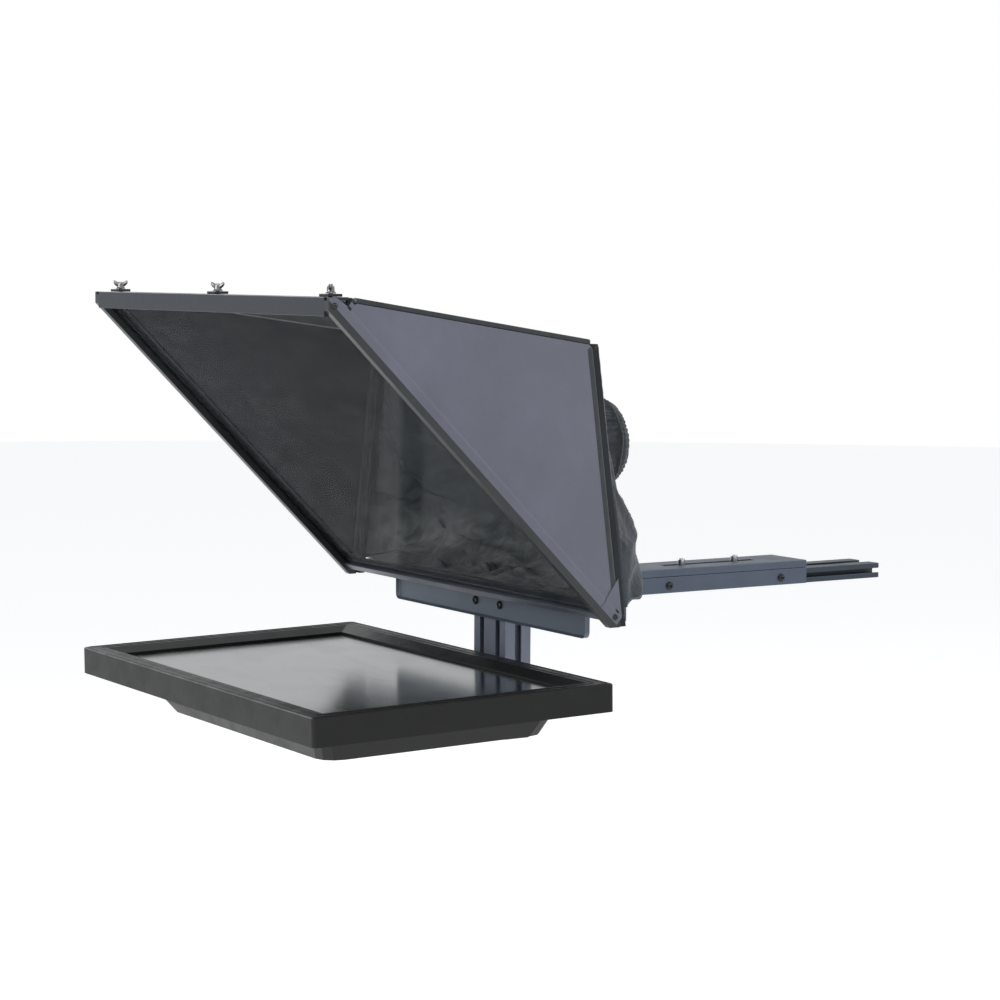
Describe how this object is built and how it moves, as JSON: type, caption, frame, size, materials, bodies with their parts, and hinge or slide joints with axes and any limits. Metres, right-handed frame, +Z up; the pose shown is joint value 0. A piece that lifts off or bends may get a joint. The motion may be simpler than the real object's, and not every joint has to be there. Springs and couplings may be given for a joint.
{
  "type": "studio teleprompter",
  "caption": "Studio teleprompter: 45 degree beam-splitter glass in a folding hood, flat monitor on an adjustable arm, and a rail with a sliding camera carriage and lens shroud.",
  "frame": {"origin": "on the flat underside of the rail, on the centre plane, where the tripod head's plate bears", "axes": "+Z up, +Y back along the rail towards the camera operator, -Y towards the talent, +X to the right for a viewer in front of the hood who looks along +Y"},
  "size_m": [0.51, 0.8286, 0.46],
  "materials": {
    "slate_anodised": "slate-blue satin anodised, edges slightly lighter",
    "dark_steel": "black oxide button-head screws and rods, semi-gloss",
    "bright_steel": "bright plated thumbscrews and studs",
    "hood_board": "matt slate-grey laminated board, faintly mottled, dark cloth binding",
    "shroud_cloth": "blue-black coated nylon cloth",
    "black_plastic": "black moulded casing, semi-gloss",
    "black_nylon": "black nylon trim",
    "mirror_glass": "thin part-silvered glass",
    "screen_glass": "glossy black display panel",
    "circuit_board": "green laminate"
  },
  "bodies": {
    "frame": {"main_rail": "slate_anodised", "monitor_column": "slate_anodised", "column_end_cap": "black_nylon", "rail_bracket": "slate_anodised", "front_crossbar": "slate_anodised", "crossbar_bolt_left": "dark_steel", "crossbar_bolt_right": "dark_steel", "frame_base_bar": "slate_anodised", "frame_left_bar": "slate_anodised", "frame_right_bar": "slate_anodised", "frame_top_bar": "slate_anodised", "corner_screw_left_low": "dark_steel", "corner_screw_left_high": "dark_steel", "corner_screw_right_low": "dark_steel", "corner_screw_right_high": "dark_steel", "beam_splitter_glass": "mirror_glass", "glass_clip_left": "black_nylon", "glass_clip_centre": "black_nylon", "glass_clip_right": "black_nylon", "left_hinge_rod": "dark_steel", "right_hinge_rod": "dark_steel", "top_hinge_rod": "dark_steel", "hoop_left_post": "slate_anodised", "hoop_right_post": "slate_anodised", "hoop_top_rail": "slate_anodised", "lens_shroud": "shroud_cloth", "neck_elastic": "black_nylon"},
    "left_side": {"hood_left_panel": "hood_board"},
    "right_side": {"hood_right_panel": "hood_board"},
    "roof": {"hood_top_flap": "hood_board"},
    "thumbscrew_left": {"thumbscrew_left": "bright_steel"},
    "thumbscrew_centre": {"thumbscrew_centre": "bright_steel"},
    "thumbscrew_right": {"thumbscrew_right": "bright_steel"},
    "camera_carriage": {"carriage_plate": "slate_anodised", "carriage_glide_liner": "black_nylon", "carriage_left_cheek": "slate_anodised", "carriage_right_cheek": "slate_anodised", "cheek_screw_left_front": "dark_steel", "cheek_screw_left_rear": "dark_steel", "cheek_screw_right_front": "dark_steel", "cheek_screw_right_rear": "dark_steel", "camera_screw_front": "bright_steel", "camera_screw_rear": "bright_steel"},
    "carriage_lock": {"carriage_lock_knob": "black_plastic"},
    "monitor_slide": {"slide_clamp": "slate_anodised", "monitor_arm": "slate_anodised", "tilt_hinge_pin": "bright_steel"},
    "height_lock": {"height_lock_knob": "black_plastic"},
    "tilt_lock": {"tilt_lock_knob": "black_plastic"},
    "monitor": {"tilt_bracket": "slate_anodised", "monitor_bezel": "black_plastic", "lcd_panel": "screen_glass", "monitor_rear_cover": "black_plastic", "monitor_board": "circuit_board", "connector_panel": "dark_steel"},
    "button_1": {"monitor_button_1": "black_nylon"},
    "button_2": {"monitor_button_2": "black_nylon"},
    "button_3": {"monitor_button_3": "black_nylon"},
    "button_4": {"monitor_button_4": "black_nylon"}
  },
  "joints": [
    {"name": "hood_left_fold", "type": "hinge", "parent": "frame", "child": "left_side", "pos_m": [-0.24763, -0.2464, 0.15194], "axis": [-0.0116, 0.7071, -0.7071], "range_deg": [0, 65]},
    {"name": "hood_right_fold", "type": "hinge", "parent": "frame", "child": "right_side", "pos_m": [0.24763, -0.2464, 0.15194], "axis": [-0.0116, -0.7071, 0.7071], "range_deg": [0, 65]},
    {"name": "hood_roof_lift", "type": "hinge", "parent": "frame", "child": "roof", "pos_m": [0, -0.3883, 0.30901], "axis": [1, 0, 0], "range_deg": [0, 90]},
    {"name": "thumbscrew_left_turn", "type": "hinge", "parent": "frame", "child": "thumbscrew_left", "pos_m": [-0.222, -0.3995, 0.3146], "axis": [0, 0, 1], "range_deg": [-180, 180]},
    {"name": "thumbscrew_centre_turn", "type": "hinge", "parent": "frame", "child": "thumbscrew_centre", "pos_m": [0, -0.3995, 0.3146], "axis": [0, 0, 1], "range_deg": [-180, 180]},
    {"name": "thumbscrew_right_turn", "type": "hinge", "parent": "frame", "child": "thumbscrew_right", "pos_m": [0.222, -0.3995, 0.3146], "axis": [0, 0, 1], "range_deg": [-180, 180]},
    {"name": "camera_slide", "type": "slide", "parent": "frame", "child": "camera_carriage", "axis": [0, 1, 0], "range_m": [-0.06, 0.1]},
    {"name": "carriage_lock_turn", "type": "hinge", "parent": "camera_carriage", "child": "carriage_lock", "pos_m": [-0.0309, 0.18, 0.008], "axis": [-1, 0, 0], "range_deg": [-90, 90]},
    {"name": "monitor_height", "type": "slide", "parent": "frame", "child": "monitor_slide", "axis": [0, 0, 1], "range_m": [-0.004, 0.025]},
    {"name": "height_lock_turn", "type": "hinge", "parent": "monitor_slide", "child": "height_lock", "pos_m": [-0.0367, -0.0817, -0.11], "axis": [-1, 0, 0], "range_deg": [-180, 180]},
    {"name": "monitor_tilt", "type": "hinge", "parent": "monitor_slide", "child": "monitor", "pos_m": [0, -0.272, -0.115], "axis": [1, 0, 0], "range_deg": [-8, 8]},
    {"name": "tilt_lock_turn", "type": "hinge", "parent": "monitor", "child": "tilt_lock", "pos_m": [0, -0.272, -0.115], "axis": [1, 0, 0], "range_deg": [-180, 180]},
    {"name": "button_1_press", "type": "slide", "parent": "monitor", "child": "button_1", "axis": [1, 0, 0], "range_m": [0, 0.001], "stiffness_N_per_m": 300, "springref_m": -0.001},
    {"name": "button_2_press", "type": "slide", "parent": "monitor", "child": "button_2", "axis": [1, 0, 0], "range_m": [0, 0.001], "stiffness_N_per_m": 300, "springref_m": -0.001},
    {"name": "button_3_press", "type": "slide", "parent": "monitor", "child": "button_3", "axis": [1, 0, 0], "range_m": [0, 0.001], "stiffness_N_per_m": 300, "springref_m": -0.001},
    {"name": "button_4_press", "type": "slide", "parent": "monitor", "child": "button_4", "axis": [1, 0, 0], "range_m": [0, 0.001], "stiffness_N_per_m": 300, "springref_m": -0.001}
  ]
}
